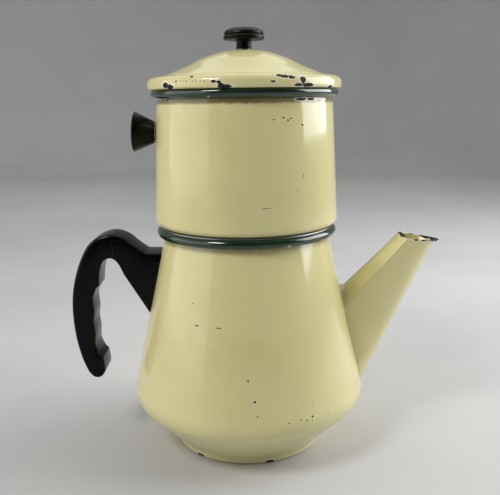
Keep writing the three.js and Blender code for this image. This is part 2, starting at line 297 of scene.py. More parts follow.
class Paint:
    def __init__(self, name, **settings):
        self.material = bpy.data.materials.new(name)
        self.material.use_nodes = True
        self.tree = self.material.node_tree
        self.shader = self.tree.nodes["Principled BSDF"]
        for socket, value in settings.items():
            self.feed(socket.replace("_", " "), value)
        self.where = self.node("ShaderNodeTexCoord", {}, [], "Object")

    def feed(self, socket, value):
        self.join(self.shader.inputs[socket], value)

    def join(self, socket, value):
        if isinstance(value, Link):
            self.tree.links.new(value.socket, socket)
        else:
            socket.default_value = value

    def node(self, kind, settings, values, out=0):
        made = self.tree.nodes.new(kind)
        for key, value in settings.items():
            setattr(made, key, value)
        pairs = values.items() if isinstance(values, dict) else enumerate(values)
        for key, value in pairs:
            self.join(made.inputs[key], value)
        return Link(self, made.outputs[out])

    def noise(self, scale, detail=3, rough=0.5, where=None, seed=0):
        return self.node("ShaderNodeTexNoise", {"noise_dimensions": "4D"}, {
            "Vector": where or self.where, "W": seed, "Scale": scale, "Detail": detail, "Roughness": rough})

    def cells(self, scale, out="Distance"):
        return self.node("ShaderNodeTexVoronoi", {}, {"Vector": self.where, "Scale": scale}, out)

    def axis(self, index):
        return self.node("ShaderNodeSeparateXYZ", {}, [self.where], index)

    def stretched(self, x, y, z):
        return self.node("ShaderNodeVectorMath", {"operation": "MULTIPLY"}, [self.where, (x, y, z)])

    def fade(self, value, low, high):
        return self.node("ShaderNodeMapRange", {"interpolation_type": "SMOOTHSTEP"}, {
            "Value": value, "From Min": low, "From Max": high})

    def mix(self, share, first, second):
        return self.node("ShaderNodeMix", {"data_type": "RGBA"}, {
            "Factor": share, 6: first, 7: second}, 2)

    def bump(self, height, strength, distance):
        return self.node("ShaderNodeBump", {}, {
            "Strength": strength, "Distance": distance, "Height": height})

    def nearest(self, marks):
        # the distance to the nearest of the marks, 1 at an edge; a mark is a place and its half sizes
        found = None
        for spot, size in marks:
            off = self.node("ShaderNodeVectorMath", {"operation": "SUBTRACT"}, [self.where, tuple(spot)])
            scale = tuple(1 / s for s in size)
            scaled = self.node("ShaderNodeVectorMath", {"operation": "MULTIPLY"}, [off, scale])
            reach = self.node("ShaderNodeVectorMath", {"operation": "LENGTH"}, [scaled], "Value")
            found = reach if found is None else found.least(reach)
        return found


def colour(red, green, blue):
    # screen values from 0 to 255
    return tuple((c / 255) ** 2.2 for c in (red, green, blue)) + (1,)


def onWall(wall, chips):
    # a chip is its degrees from the front towards the spout, its height, half width and half tallness
    marks = []
    for turn, height, wide, tall in chips:
        radius = wall(height)
        spot = Vector((radius * sin(radians(turn)), -radius * cos(radians(turn)), height)) * mm
        marks.append((spot, (wide * mm, wide * mm, tall * mm)))
    return marks


creamLook = dict(
    body=colour(222, 213, 156), deep=colour(204, 192, 130), halo=colour(243, 237, 210),
    iron=colour(15, 13, 13), rust=colour(84, 58, 40), speck=colour(58, 50, 34),
    # the brown below is the colour of the painted shade band under the beads
    filmAndShade=colour(96, 78, 44),
)


def creamEnamel(name, marks, wave=0.35, rim=None, stainAndShade=None):
    # glossy vitreous enamel, chipped through to dark iron with a pale ground coat round each chip;
    # wave is how uneven it lies, rim a worn edge, and the last argument the heights where a brown band of
    # painted shade below a bead starts and is full, with its strength
    look = creamLook
    paint = Paint(name, Coat_Roughness=0.04, Coat_IOR=1.5, IOR=1.5)
    ragged = paint.noise(900, 4, 0.65, seed=1.5)
    coarse = paint.noise(260, 3, 0.6, seed=4.1)
    reach = paint.nearest(marks) + (ragged - 0.5) * 1.1 + (coarse - 0.5) * 0.9
    if rim:
        reach = reach.least(rim(paint, ragged, coarse))
    chip = 1 - paint.fade(reach, 0.86, 0.98)
    halo = (1 - paint.fade(reach, 1.05, 1.7)) * (1 - chip)
    # pin specks and small pits all over
    pins = paint.cells(120)
    chance = paint.node("ShaderNodeSeparateColor", {}, [paint.cells(120, "Color")], 0)
    pin = (1 - paint.fade(pins, 0.035, 0.07)) * chance.over(0.93)
    grime = paint.fade(paint.noise(18, 5, 0.6, seed=7), 0.5, 0.72)
    shade = paint.mix(grime * 0.4, look["body"], look["deep"])
    # painted shade: the enamel turns brown between two heights, as the shadow under a bead
    if stainAndShade:
        low, full, strength = stainAndShade
        filmAndShade = paint.fade(paint.axis(2) + (coarse - 0.5) * 0.003, low * mm, full * mm)
        shade = paint.mix(filmAndShade * strength, shade, look["filmAndShade"])
    shade = paint.mix(pin * 0.7, shade, look["speck"])
    shade = paint.mix(halo * 0.75, shade, look["halo"])
    metal = paint.mix(paint.fade(coarse, 0.52, 0.66), look["iron"], look["rust"])
    paint.feed("Base Color", paint.mix(chip, shade, metal))
    # fine wipe marks roughen the gloss here and there
    rub = paint.fade(paint.noise(55, 6, 0.7, paint.stretched(1, 1, 3), 2.2), 0.52, 0.8)
    gloss = 0.13 + rub * 0.12 + grime * 0.05
    paint.feed("Roughness", gloss.most(chip * 0.78))
    paint.feed("Coat Weight", (1 - chip) * 0.2)
    ripple = paint.noise(14, 2, 0.4, seed=9)
    orange = paint.noise(420, 2, 0.5, seed=3)
    relief = ripple * wave + orange * 0.006 - pin * 0.1 + halo * 0.04 - chip * 0.3
    paint.feed("Normal", paint.bump(relief, 0.8, 0.0011))
    return paint.material


def greenEnamel(name, marks):
    paint = Paint(name, Coat_Weight=0.5, Coat_Roughness=0.03, IOR=1.52)
    ragged = paint.noise(1100, 4, 0.6, seed=3.3)
    reach = paint.nearest(marks) + (ragged - 0.5) * 1.2
    chip = 1 - paint.fade(reach, 0.85, 1.0)
    edge = (1 - paint.fade(reach, 1.0, 1.4)) * (1 - chip)
    cloud = paint.fade(paint.noise(60, 4, 0.6, seed=1), 0.35, 0.7)
    shade = paint.mix(cloud, colour(12, 40, 24), colour(22, 56, 36))
    shade = paint.mix(edge * 0.6, shade, colour(96, 112, 92))
    paint.feed("Base Color", paint.mix(chip, shade, colour(206, 198, 164)))
    rub = paint.fade(paint.noise(160, 5, 0.7, seed=6), 0.5, 0.8)
    paint.feed("Roughness", 0.14 + rub * 0.14 + chip * 0.3)
    relief = paint.noise(90, 3, 0.5, seed=2) * 0.25 + paint.noise(700, 2, 0.5) * 0.04 - chip * 0.3
    paint.feed("Normal", paint.bump(relief, 0.7, 0.0006))
    return paint.material


def phenolic(name, dust, gloss=0.15):
    # black moulded resin: polished, with hairline scratches, and dulled where dust and hands have been
    paint = Paint(name, IOR=1.5, Specular_IOR_Level=0.15)
    hair = paint.noise(70, 2, 0.5, paint.stretched(1, 1, 14), 1.1)
    cross = paint.noise(60, 2, 0.5, paint.stretched(16, 3, 1), 5.2)
    scratch = (paint.fade(hair, 0.68, 0.7) + paint.fade(cross, 0.7, 0.72)) * 0.5
    bloom = paint.fade(paint.noise(45, 6, 0.72, seed=8), 0.42, 0.78)
    facing = paint.node("ShaderNodeNewGeometry", {}, [], "Normal")
    up = paint.node("ShaderNodeSeparateXYZ", {}, [facing], 2)
    filmAndShade = paint.fade(up, 0.15, 0.95) * dust * (0.45 + bloom * 0.55)
    shade = paint.mix(filmAndShade, colour(5, 5, 6), colour(104, 102, 98))
    shade = paint.mix(scratch * 0.25, shade, colour(92, 90, 86))
    paint.feed("Base Color", shade)
    paint.feed("Roughness", gloss + bloom * 0.1 + filmAndShade * 0.4 + scratch * 0.2)
    grain = paint.noise(1500, 2, 0.5) * 0.05 + paint.noise(30, 3, 0.5, seed=4) * 0.2 - scratch * 0.15
    paint.feed("Normal", paint.bump(grain, 0.5, 0.0006))
    return paint.material


def spunAluminium():
    # fine rings from the spinning tool, with coffee-brown stains
    paint = Paint("spunAluminium", Metallic=1.0)
    across, side, height = (paint.axis(i) for i in range(3))
    radius = (across * across + side * side) ** 0.5
    along = paint.node("ShaderNodeCombineXYZ", {}, [radius, height, 0])
    rings = paint.noise(1600, 3, 0.6, along, 1)
    stainAndShade = paint.fade(paint.noise(38, 6, 0.65, seed=3), 0.48, 0.75)
    shade = paint.mix(stainAndShade * 0.55, colour(196, 196, 198), colour(128, 104, 78))
    paint.feed("Base Color", shade)
    paint.feed("Roughness", 0.3 + rings * 0.14 + stainAndShade * 0.18)
    paint.feed("Normal", paint.bump(rings * 0.3 + stainAndShade * 0.1, 0.4, 0.0003))
    return paint.material


def platedSteel():
    paint = Paint("platedSteel", Metallic=1.0)
    spots = paint.fade(paint.noise(240, 5, 0.7, seed=2), 0.5, 0.72)
    shade = paint.mix(spots * 0.6, colour(176, 176, 174), colour(112, 92, 70))
    paint.feed("Base Color", shade)
    paint.feed("Roughness", 0.3 + spots * 0.3)
    paint.feed("Normal", paint.bump(paint.noise(900, 3, 0.6), 0.3, 0.0003))
    return paint.material


aluminium = spunAluminium()
steel = platedSteel()

# camera, lights and floor

cameraLook = dict(place=(0.0023, -0.4775, 0.2427), down=12.03, roll=-0.764, lens=48.88)


def addCamera():
    tilt = radians(cameraLook["down"])
    roll = radians(cameraLook["roll"])
    ahead = Vector((0, cos(tilt), -sin(tilt)))
    side = Vector((1, 0, 0))
    above = side.cross(ahead)
    right = side * cos(roll) + above * sin(roll)
    up = above * cos(roll) - side * sin(roll)
    bpy.ops.object.camera_add(location=cameraLook["place"])
    camera = bpy.context.object
    camera.name = "camera"
    camera.data.lens = cameraLook["lens"]
    camera.data.sensor_width = 36
    camera.data.clip_start = 0.01
    camera.rotation_euler = Matrix((right, up, -ahead)).transposed().to_euler()
    bpy.context.scene.camera = camera


lamps = {
    # place, size, power and colour
    "windowRight": ((0.95, 0.16, 0.55), (0.95, 0.72), 12, (0.98, 0.99, 1.0)),
    "windowLeft": ((-0.62, -0.6, 1.02), (0.34, 0.3), 6.2, (1.0, 0.99, 0.96)),
    "leftWall": ((-1.7, -0.4, 0.5), (2.2, 1.7), 15, (1.0, 0.99, 0.97)),
    "ceiling": ((0.0, 0.7, 1.7), (3.2, 2.2), 15, (1.0, 1.0, 0.98)),
    "backdropGlow": ((0.0, 1.0, 2.1), (2.4, 0.6), 4, (1.0, 1.0, 1.0)),
}


def addLamps():
    aim, backdrop = Vector((0, 0, 0.15)), Vector((0, 2.4, 0.6))
    for name, (spot, size, power, tint) in lamps.items():
        bpy.ops.object.light_add(type="AREA", location=spot)
        lamp = bpy.context.object
        lamp.name = name
        lamp.data.shape = "RECTANGLE"
        lamp.data.size, lamp.data.size_y = size
        lamp.data.energy = power
        lamp.data.color = tint
        target = backdrop if name == "backdropGlow" else aim
        lamp.rotation_euler = (target - Vector(spot)).to_track_quat("-Z", "Y").to_euler()
    world = bpy.data.worlds.new("softRoom")
    world.use_nodes = True
    world.node_tree.nodes["Background"].inputs["Color"].default_value = (0.78, 0.8, 0.82, 1)
    world.node_tree.nodes["Background"].inputs["Strength"].default_value = 0.1
    bpy.context.scene.world = world
    bpy.context.scene.view_settings.view_transform = "Standard"


cove = dict(radius=2600, sweep=700, top=3200, openBehind=1200, curb=30)


def addFloor():
    # a pale round floor that sweeps up into a wall, left open behind the camera
    radius = cove["radius"]
    outline = rounded([(0, 0), (radius, 0, cove["sweep"]), (radius, cove["top"])], 16)
    sheet = turned("floor", outline, 96)
    bpy.ops.object.mode_set(mode="EDIT")
    bpy.ops.mesh.select_all(action="DESELECT")
    mesh = bmesh.from_edit_mesh(sheet.data)
    for face in mesh.faces:
        spot = face.calc_center_median()
        face.select_set(spot.y < -cove["openBehind"] * mm and spot.z > cove["curb"] * mm)
    bmesh.update_edit_mesh(sheet.data)
    bpy.ops.mesh.delete(type="FACE")
    bpy.ops.object.mode_set(mode="OBJECT")
    paint = Paint("paleFloor")
    tone = paint.fade(paint.noise(3, 5, 0.6), 0.3, 0.7)
    paint.feed("Base Color", paint.mix(tone, colour(190, 190, 192), colour(200, 199, 198)))
    paint.feed("Roughness", 0.6 + tone * 0.1)
    sheet.data.materials.append(paint.material)


addCamera()
addLamps()
addFloor()
print("camera, lights and floor ready")

# pot

potLow, potHigh = heights("pot_shell")
pot = dict(foot=53.3, footCorner=2, footLean=0.2, band=4.4, bandBend=3, shoulder=84.55,
           shoulderHeight=34.95, shoulderFillet=15.5, mouth=58.1, wall=1.2)
strainer = dict(rows=5, top=96, pitch=10, across=11, radius=3.6)


def potRadius(height):
    slope = (pot["shoulder"] - pot["mouth"]) / (potHigh - pot["shoulderHeight"])
    return pot["mouth"] + slope * (potHigh - height)


def potOutline(swell=0.0):
    # swell moves the wall outwards, for cutters
    foot = pot["foot"] + swell
    return rounded([
        (0, potLow),
        (foot, potLow, pot["footCorner"]),
        (foot + pot["footLean"], pot["band"], pot["bandBend"]),
        (pot["shoulder"] + swell, pot["shoulderHeight"], pot["shoulderFillet"]),
        (pot["mouth"] + swell, potHigh),
    ], 14)


def potCutter(swell):
    return turned("potSolid", potOutline(swell) + [(0, potHigh)])


def addPot():
    body = thicken(turned("potBody", potOutline()), pot["wall"])
    # the strainer behind the spout has rows of one hole and two holes by turns
    drills = []
    for row in range(strainer["rows"]):
        count = 2 if row % 2 else 1
        for i in range(count):
            hole = drill(strainer["radius"], pot["foot"], pot["shoulder"])
            hole.rotation_euler = (0, pi / 2, 0)
            across = (i - (count - 1) / 2) * strainer["across"]
            hole.location = (0, across * mm, (strainer["top"] - row * strainer["pitch"]) * mm)
            drills.append(place(hole))
    smooth(carve(body, joined(drills)))
    chips = [
        (0, 71, 0.7, 0.5), (3, 58, 1.1, 0.9), (4, 49, 0.5, 0.5), (18, 43, 0.6, 0.5),
        (24, 43.5, 0.6, 0.6), (27, 42.5, 0.8, 0.5), (30, 44, 0.9, 0.9), (39, 42.5, 0.5, 0.6),
        (-32, 116.5, 0.5, 0.5), (-28, 103, 1.8, 0.35), (-15, 103, 2.2, 0.3),
        (150, 88, 1.2, 0.9), (205, 60, 0.8, 1.1), (176, 120, 0.6, 0.5), (120, 41, 1.6, 0.9),
        (-140, 96, 0.9, 0.6), (-118, 45, 1.3, 0.8), (-75, 62, 0.7, 0.5),
    ]
    feet = [(a, 1.2, 3.2, 1.3) for a in (-160, -96, -40, 15, 78, 133)]
    marks = onWall(potRadius, chips) + onWall(lambda z: pot["foot"], feet)
    # the band from 146.5 mm up to 153 mm is painted shadow under the green bead
    enamel = creamEnamel("potEnamel", marks, stainAndShade=(146.5, 153, 0.5))
    shown(body, "pot", enamel, "cream_enamel", "pot_shell")


def addBead(name, node, body, chips):
    low, high = heights(node)
    tube = (high - low) / 2
    radius = halfWidth(node) - tube
    bead = turned(name, ringAt(radius, (low + high) / 2, tube), angle=60)
    marks = onWall(lambda z: radius + tube * 0.8, chips)
    shown(bead, body, greenEnamel(name + "Enamel", marks), "green_enamel", node)


addPot()
addBead("potBead", "pot_rim_bead", "pot",
        [(26, 153, 1.5, 1.1), (95, 153, 1.0, 0.7), (168, 157, 1.8, 0.9), (-130, 153, 1.3, 0.8)])
print("pot ready")

# spout: its crown, crease and keel run from the root to the mouth; points are x and z

spoutStations = [
    dict(crown=(52, 112.5), crease=(52, 100.2), keel=(62, 46), half=15.5),
    dict(crown=(70.4, 112.5), crease=(69.2, 100.2), keel=(83.9, 40.1), half=15.5),
    dict(crown=(109, 149.4), crease=(110.4, 147), keel=(132.9, 141.7), half=12.8),
    dict(crown=(110.2, 150.5), crease=(111.8, 148.2), keel=(138, 145.2), half=12.5),
]
spout = dict(sunk=0.2, lipOutwards=0.1, lipUpwards=0.25, wearDepth=1.7, wearStart=0.15)
spoutChips = [
    # places, then half sizes
    ((124.5, -12.5, 146.5), (2.8, 1.6, 1.2)), ((118.5, -12.2, 147.4), (1.6, 1.6, 0.9)),
    ((130, -9.5, 146), (2, 1.6, 1)), ((135, -5, 145.2), (2.4, 2.2, 1.1)),
    ((137, 1, 145.2), (1.4, 3, 1.2)), ((112, 4, 150.5), (1.2, 4, 0.8)),
    ((113, -7, 149.6), (1.2, 2, 0.8)), ((126, 12, 146.5), (3, 1.6, 1.1)),
    ((133, 7.5, 145.5), (1.8, 1.6, 1)), ((101, -14, 90), (0.6, 2, 0.9)),
    ((109, -13, 118), (0.6, 2, 0.6)), ((105, 13, 100), (0.8, 2, 0.8)),
]


def between(first, second, share):
    made = {}
    for key in ("crown", "crease", "keel"):
        made[key] = tuple(a + (b - a) * share for a, b in zip(first[key], second[key]))
    made["half"] = first["half"] + (second["half"] - first["half"]) * share
    return made


def easedCorner(ring, index, reach=1.5, steps=4):
    # the corner point gives way to a short curve between points to either side of it
    corner = Vector(ring[index])
    before = corner + (Vector(ring[index - 1]) - corner).normalized() * reach
    after = corner + (Vector(ring[(index + 1) % len(ring)]) - corner).normalized() * reach
    curve = []
    for k in range(steps + 1):
        t = k / steps
        curve.append(tuple(before * (1 - t) ** 2 + corner * (2 * t * (1 - t)) + after * t * t))
    return ring[:index] + curve + ring[index + 1:]


def spoutRing(station, wall=0.0, roofSteps=14, sideSteps=18):
    crown, crease, keel = (Vector(station[k]) for k in ("crown", "crease", "keel"))
    inward = (keel - crown).normalized() * wall
    crown, crease, keel = crown + inward, crease + inward, keel - inward
    half = station["half"] - wall
    ring = []
    for i in range(roofSteps + 1):
        across = -1 + 2 * i / roofSteps
        spot = crown.lerp(crease, across * across)
        ring.append((spot.x, across * half, spot.y))
    for i in range(1, 2 * sideSteps):
        side = 1 if i < sideSteps else -1
        down = i / sideSteps if i < sideSteps else 2 - i / sideSteps
        spot = crease.lerp(keel, down)
        reach = half * max(1 - down ** 2.2, 0) ** 0.75
        ring.append((spot.x, side * reach, spot.y))
    return easedCorner(easedCorner(ring, roofSteps), 0)


def wornLip(paint, ragged, coarse):
    # the enamel has broken away along most of the mouth's edge, which slopes down to the beak
    crown, keel = spoutStations[-1]["crown"], spoutStations[-1]["keel"]
    slope = (crown[1] - keel[1]) / (keel[0] - crown[0])
    lip = (crown[1] + crown[0] * slope) * mm - paint.axis(0) * slope
    below = (lip - paint.axis(2)) / (spout["wearDepth"] * mm)
    return below + (coarse - 0.5) * 5 + (ragged - 0.5) * 1.6 + spout["wearStart"]


def addSpout():
    wall = pot["wall"]
    path = [spoutStations[0], spoutStations[1]]
    path += [between(spoutStations[1], spoutStations[2], k / 8) for k in range(1, 8)]
    path += [spoutStations[2], spoutStations[3]]
    outside = [spoutRing(s) for s in path]
    inside = [spoutRing(s, wall) for s in reversed(path)]
    lip = [(x + spout["lipOutwards"], y, z + spout["lipUpwards"])
           for x, y, z in spoutRing(path[-1], wall / 2)]
    made = lofted("spout", outside + [lip] + inside + [outside[0]], closed=True, angle=28)
    smooth(carve(made, potCutter(-spout["sunk"])), 28)
    marks = [(Vector(spot) * mm, tuple(Vector(size) * mm)) for spot, size in spoutChips]
    enamel = creamEnamel("spoutEnamel", marks, wave=0.2, rim=wornLip)
    shown(made, "pot", enamel, "cream_enamel", "spout")


addSpout()
print("spout ready")

# handle

handle = dict(width=26, edge=2.6, gripEdge=3.4, cusps=(-105.4, -108.6, -108.5, -105.5), lowestCusp=62.8,
              pitch=17.9, seatDepth=-112.9, seatStagger=0.6, cuspDulled=1.3, besideCusp=0.5, gap=0.3)
counterbore = dict(radius=4.6, start=7, end=20)


def handleOutline():
    # from the top of the wall round the grip and back to the wall; each point says how round its edge is
    plain, grip = handle["edge"], handle["gripEdge"]
    topSlope = -0.0093
    path = [(x, 140 + (x + 50) * topSlope, plain) for x in (-50, -56, -62, -68)]
    outer = splined([
        (-71.5, 140.2), (-78, 144.9), (-85.5, 151), (-94.5, 154), (-104, 151.8), (-111.5, 146.3),
        (-117.6, 135.4), (-121.9, 123.2), (-124.6, 110), (-125.3, 95), (-123.9, 78), (-120.6, 63),
        (-116.6, 52.4),
    ], 4)
    path += [(x, z, plain) for x, z in outer[:-1]]
    tip = splined([(-116.6, 52.4), (-112.6, 48.2), (-107.6, 48.4), (-104.4, 53.4), (-105.4, 62.4)], 5)
    path += [(x, z, plain) for x, z in tip[:-1]]
    cusps = handle["cusps"]
    steps = 8
    for i in range(1, len(cusps)):
        start = Vector((cusps[i - 1], handle["lowestCusp"] + handle["pitch"] * (i - 1)))
        end = Vector((cusps[i], handle["lowestCusp"] + handle["pitch"] * i))
        depth = handle["seatDepth"] - handle["seatStagger"] * (i % 2)
        seat = Vector((depth, (start.y + end.y) / 2))
        for k in range(steps):
            t = k / steps
            spot = start * (1 - t) ** 2 + seat * (2 * t * (1 - t)) + end * t * t
            edge = grip if i > 1 or k > 3 else plain + (grip - plain) * k / 4
            dulled = handle["cuspDulled"] if k == 0 and i > 1 else 0
            if k in (1, steps - 1):
                dulled = handle["besideCusp"]
            path.append((spot.x - dulled, spot.y, edge))
    inner = splined([(-105.5, 116.5), (-104.6, 126), (-102.4, 133.2), (-98.2, 136.5), (-94, 135.8),
                     (-90.6, 132), (-87.4, 125)], 5)
    narrowing = 0.18
    path += [(x, z, max(plain, grip - narrowing * k)) for k, (x, z) in enumerate(inner[:-1])]
    web = [(-87.4, 125), (-69.9, 96), (-50, 66)]
    for (x0, z0), (x1, z1) in zip(web, web[1:]):
        path += [(x0 + (x1 - x0) * k / 5, z0 + (z1 - z0) * k / 5, plain) for k in range(5)]
    return path + [(-50, 66, plain), (-50, 100, plain)]


def addHandle():
    outline = handleOutline()
    # the push inwards at each point, mitred at the corners
    area = sum(a[0] * b[1] - b[0] * a[1] for a, b in zip(outline, outline[1:] + outline[:1]))
    side = 1 if area > 0 else -1
    inward = []
    for i, (x, z, _) in enumerate(outline):
        back = Vector((x - outline[i - 1][0], z - outline[i - 1][1])).normalized()
        ahead = outline[(i + 1) % len(outline)]
        on = Vector((ahead[0] - x, ahead[1] - z)).normalized()
        normal = (Vector((-back.y, back.x)) + Vector((-on.y, on.x))).normalized() * side
        stretch = min(1.25, 1 / max(0.3, normal.dot(Vector((-on.y, on.x)) * side)))
        inward.append(normal * stretch)
    # each face's edge is rounded by the rings nearest it
    half = handle["width"] / 2
    rings = []
    arcs = [radians(90) * k / 5 for k in range(6)]
    for way, angles in ((-1, arcs), (1, arcs[::-1])):
        for angle in angles:
            ring = []
            for (x, z, edge), push in zip(outline, inward):
                inset = edge * (1 - sin(angle))
                drop = edge * (1 - cos(angle))
                ring.append((x + push.x * inset, way * (half - drop), z + push.y * inset))
            rings.append(ring)
    grip = carve(lofted("handle", rings, angle=40), potCutter(handle["gap"]))
    for name in ("upper", "lower"):
        low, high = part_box("handle_screw_" + name)
        hole = drill(counterbore["radius"], counterbore["start"], counterbore["end"], 40)
        hole.rotation_euler = (-pi / 2, 0, 0)
        hole.location = ((low.x + high.x) / 2, 0, (low.z + high.z) / 2)
        carve(grip, place(hole))
    smooth(grip, 28)
    shown(grip, "pot", phenolic("handleResin", 0.06, 0.18), "black_phenolic", "handle")


# screws and washers, made on +Z and then laid in place

screw = dict(shank=2, hole=2.3, tip=1.7, tipLength=0.4, head=3.7, headHeight=2.4, headSide=0.45,
             slot=1.0, slotDepth=0.8)


def slottedScrew(name, seat, tip):
    # seat is the height under the head, and the head is on the far side of it from the tip
    way = 1 if seat > tip else -1
    shank, head, tall, side = (screw[key] for key in ("shank", "head", "headHeight", "headSide"))
    outline = [(0, tip), (screw["tip"], tip), (shank, tip + way * screw["tipLength"]),
               (shank, seat), (head, seat), (head, seat + way * tall * side)]
    for k in range(1, 9):
        angle = radians(90) * k / 8
        outline.append((head * cos(angle), seat + way * tall * (side + (1 - side) * sin(angle))))
    outline[-1] = (0, seat + way * tall)
    made = turned(name, outline, 48, 30)
    blade = 3 * screw["slotDepth"]
    middle = seat + way * (tall - screw["slotDepth"] + blade / 2)
    bpy.ops.object.select_all(action="DESELECT")
    bpy.ops.mesh.primitive_cube_add(size=1, location=(0, 0, middle * mm))
    slot = bpy.context.object
    slot.scale = (10 * mm, screw["slot"] * mm, blade * mm)
    return smooth(carve(made, place(slot)), 30)


def flatWasher(name, outer, low, high):
    inner = screw["hole"]
    corner = min(0.25, (high - low) / 3)
    outline = [(inner, low), (outer - corner, low), (outer, low + corner), (outer, high - corner),
               (outer - corner, high), (inner, high), (inner, low)]
    return turned(name, outline, 48, 20)


def laidAcross(piece, spot):
    piece.rotation_euler = (-pi / 2, 0, 0)
    piece.location = spot
    return place(piece)


def addHandleScrews():
    for name in ("upper", "lower"):
        low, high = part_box("handle_screw_" + name)
        spot = ((low.x + high.x) / 2, 0, (low.z + high.z) / 2)
        made = slottedScrew("handleScrew" + name.title(), high.y / mm - screw["headHeight"], low.y / mm)
        shown(laidAcross(made, spot), "pot", steel, "plated_steel", "handle_screw_" + name)
        low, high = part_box("handle_washer_" + name)
        made = flatWasher("handleWasher" + name.title(), (high.x - low.x) / 2 / mm, low.y / mm, high.y / mm)
        shown(laidAcross(made, spot), "pot", steel, "plated_steel", "handle_washer_" + name)
    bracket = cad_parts["handle_bracket"]
    bracket.data.materials.clear()
    bracket.data.materials.append(steel)


addHandle()
addHandleScrews()
print("handle ready")

# coffee basket and spreader

basket = dict(step=127, lower=52.6, sheet=0.8, flange=3.5, holeRings=3, holePitch=14, hole=1.8)
spreader = dict(holeRings=2, holePitch=19, hole=2.2)


def addBasket():
    floorHeight, flange = heights("coffee_basket")
    outer = halfWidth("coffee_basket")
    wall = outer - basket["flange"]
    sheet = basket["sheet"]
    top = flange - sheet
    outline = rounded([
        (0, floorHeight), (basket["lower"] - 0.6, floorHeight, 3), (basket["lower"], basket["step"], 1.2),
        (wall, basket["step"], 1.2), (wall, top, 1), (outer, top),
    ], 5)
    made = thicken(turned("coffeeBasket", outline), sheet)
    sifted(made, basket["holeRings"], basket["holePitch"], basket["hole"], floorHeight - 1, floorHeight + 2)
    shown(smooth(made), "basket", aluminium, "spun_aluminium", "coffee_basket")


def addSpreader():
    low, high = heights("spreader_plate")
    outer = halfWidth("spreader_plate")
    sheet, hole = basket["sheet"], screw["hole"]
    outline = rounded([
        (hole, low), (outer, low, 0.9), (outer, high, 0.3), (outer - sheet, high, 0.3),
        (outer - sheet, low + sheet, 0.4), (hole, low + sheet), (hole, low),
    ], 4)
    plate = turned("spreaderPlate", outline)
    sifted(plate, spreader["holeRings"], spreader["holePitch"], spreader["hole"], low - 1, low + 2)
    shown(smooth(plate), "spreader", aluminium, "spun_aluminium", "spreader_plate")
    low, high = heights("spreader_knob")
    outline = rounded([
        (hole, low), (4, low, 0.3), (3.4, low + 3, 1.5), (5.6, low + 5, 0.6), (5.6, low + 6.8, 1),
        (4, high, 1), (0, high),
    ], 4)
    blind = low + 5
    button = turned("spreaderKnob", outline + [(0, blind), (hole, blind), (hole, low)], 64)
    shown(button, "spreader", aluminium, "spun_aluminium", "spreader_knob")
    low, high = heights("spreader_rivet")
    outline = rounded([(0, low), (3, low, 0.5), (3.4, low + 1), (2, low + 1), (2, high, 0.3), (0, high)], 3)
    rivet = turned("spreaderRivet", outline, 48)
    shown(rivet, "spreader", aluminium, "spun_aluminium", "spreader_rivet")


addBasket()
addSpreader()
print("basket and spreader ready")

# water chamber

chamberLow, chamberTop = heights("chamber_shell")
chamber = dict(collar=54.4, ledge=159.9, wall=64.1, corner=4.5, neck=60.6, neckHeight=238.5, rim=59.9,
               sheet=1.2, holeRings=2, holePitch=16, hole=1.8)
knob = dict(height=223.4, start=1.4, neck=7.4, rim=13.9, length=17.2, screwSink=4, tipGap=0.4)
knobWashers = dict(seatLow=0.3, seatHigh=1.1, inside=-1.9, sheet=0.8, radius=5.4, screwSeat=-3)


def chamberRadius(height):
    share = (height - chamber["ledge"]) / (chamber["neckHeight"] - chamber["ledge"])
    return chamber["wall"] + (chamber["neck"] - chamber["wall"]) * share


def wallTilt():
    return atan((chamber["wall"] - chamber["neck"]) / (chamber["neckHeight"] - chamber["ledge"]))


def onChamberWall(piece):
    # a piece made on +Z is laid along the wall's outward normal
    tilt = wallTilt()
    piece.rotation_euler = (0, tilt - pi / 2, 0)
    piece.location = (-chamberRadius(knob["height"]) * mm, 0, knob["height"] * mm)
    return place(piece)


def addChamber():
    ledge = chamber["ledge"]
    outline = rounded([
        (0, chamberLow), (chamber["collar"], chamberLow, 3), (chamber["collar"], ledge, 1.2),
        (chamber["wall"], ledge, chamber["corner"]), (chamber["neck"], chamber["neckHeight"], 6),
        (chamber["rim"], chamberTop),
    ], 10)
    made = thicken(turned("chamber", outline), chamber["sheet"])
    carve(made, onChamberWall(drill(screw["hole"], -4, 3)))  # for the knob's screw
    sifted(made, chamber["holeRings"], chamber["holePitch"], chamber["hole"], chamberLow - 1, chamberLow + 3)
    chips = [
        (17, 232.5, 0.6, 0.5), (23, 233.5, 1.0, 0.5), (28, 233, 0.9, 0.6), (26, 232, 1.1, 0.5),
        (36, 229, 0.8, 0.7), (36, 244.5, 4.2, 0.9), (44, 244.5, 3.4, 0.8), (-55, 244.5, 2.2, 0.6),
        (11, 178.5, 2.4, 0.22), (14, 178.5, 1.2, 0.2), (36, 197.5, 0.25, 2.0),
        (150, 238, 1.1, 0.8), (-140, 200, 0.9, 0.6), (175, 182, 1.3, 0.6), (118, 244.5, 3.0, 0.8),
        (-170, 244.5, 4.0, 0.9), (-100, 168, 1.4, 0.8), (80, 165, 1.2, 0.7),
    ]
    marks = onWall(chamberRadius, chips)
    # the band from 241.6 mm up to 243.4 mm is painted shade under the rim bead, partly a real brown stain
    enamel = creamEnamel("chamberEnamel", marks, stainAndShade=(241.6, 243.4, 0.75))
    shown(smooth(made), "chamber", enamel, "cream_enamel", "chamber_shell")


